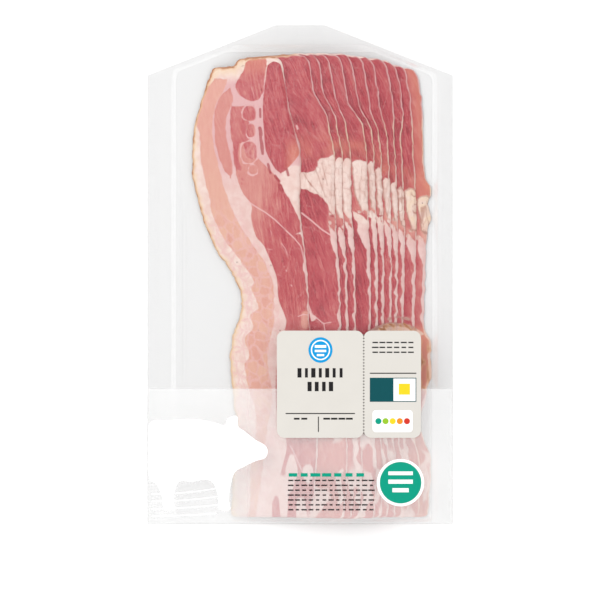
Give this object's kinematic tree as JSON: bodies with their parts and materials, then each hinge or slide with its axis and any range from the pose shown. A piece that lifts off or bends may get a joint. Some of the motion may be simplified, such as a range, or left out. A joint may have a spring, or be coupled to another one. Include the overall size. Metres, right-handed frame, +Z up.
{
  "type": "bacon pack",
  "caption": "Flat clear tray pack with two cut corners, holding shingled streaky bacon slices under a clear lid film with a two-panel label.",
  "frame": {"origin": "on the ground under the middle of the pack, which lies on its tray", "axes": "+Y towards the end with the two cut corners, +X to the right as the shown side is read, +Z up out of the lid film"},
  "size_m": [0.15, 0.245, 0.0142],
  "materials": {
    "clear_tray": "clear, glossy, with a fine knurled seal",
    "bacon": "moist cured meat with pale fat and a tan rind",
    "clear_film": "clear, glossy, printed white near one end",
    "label_paper": "matt off-white paper with plain coloured print"
  },
  "bodies": {
    "root": {"tray": "clear_tray", "bacon_slice_01": "bacon", "bacon_slice_02": "bacon", "bacon_slice_03": "bacon", "bacon_slice_04": "bacon", "bacon_slice_05": "bacon", "bacon_slice_06": "bacon", "bacon_slice_07": "bacon", "bacon_slice_08": "bacon", "bacon_slice_09": "bacon", "bacon_slice_10": "bacon", "bacon_slice_11": "bacon", "bacon_slice_12": "bacon", "lid_film": "clear_film", "label": "label_paper"}
  },
  "joints": []
}
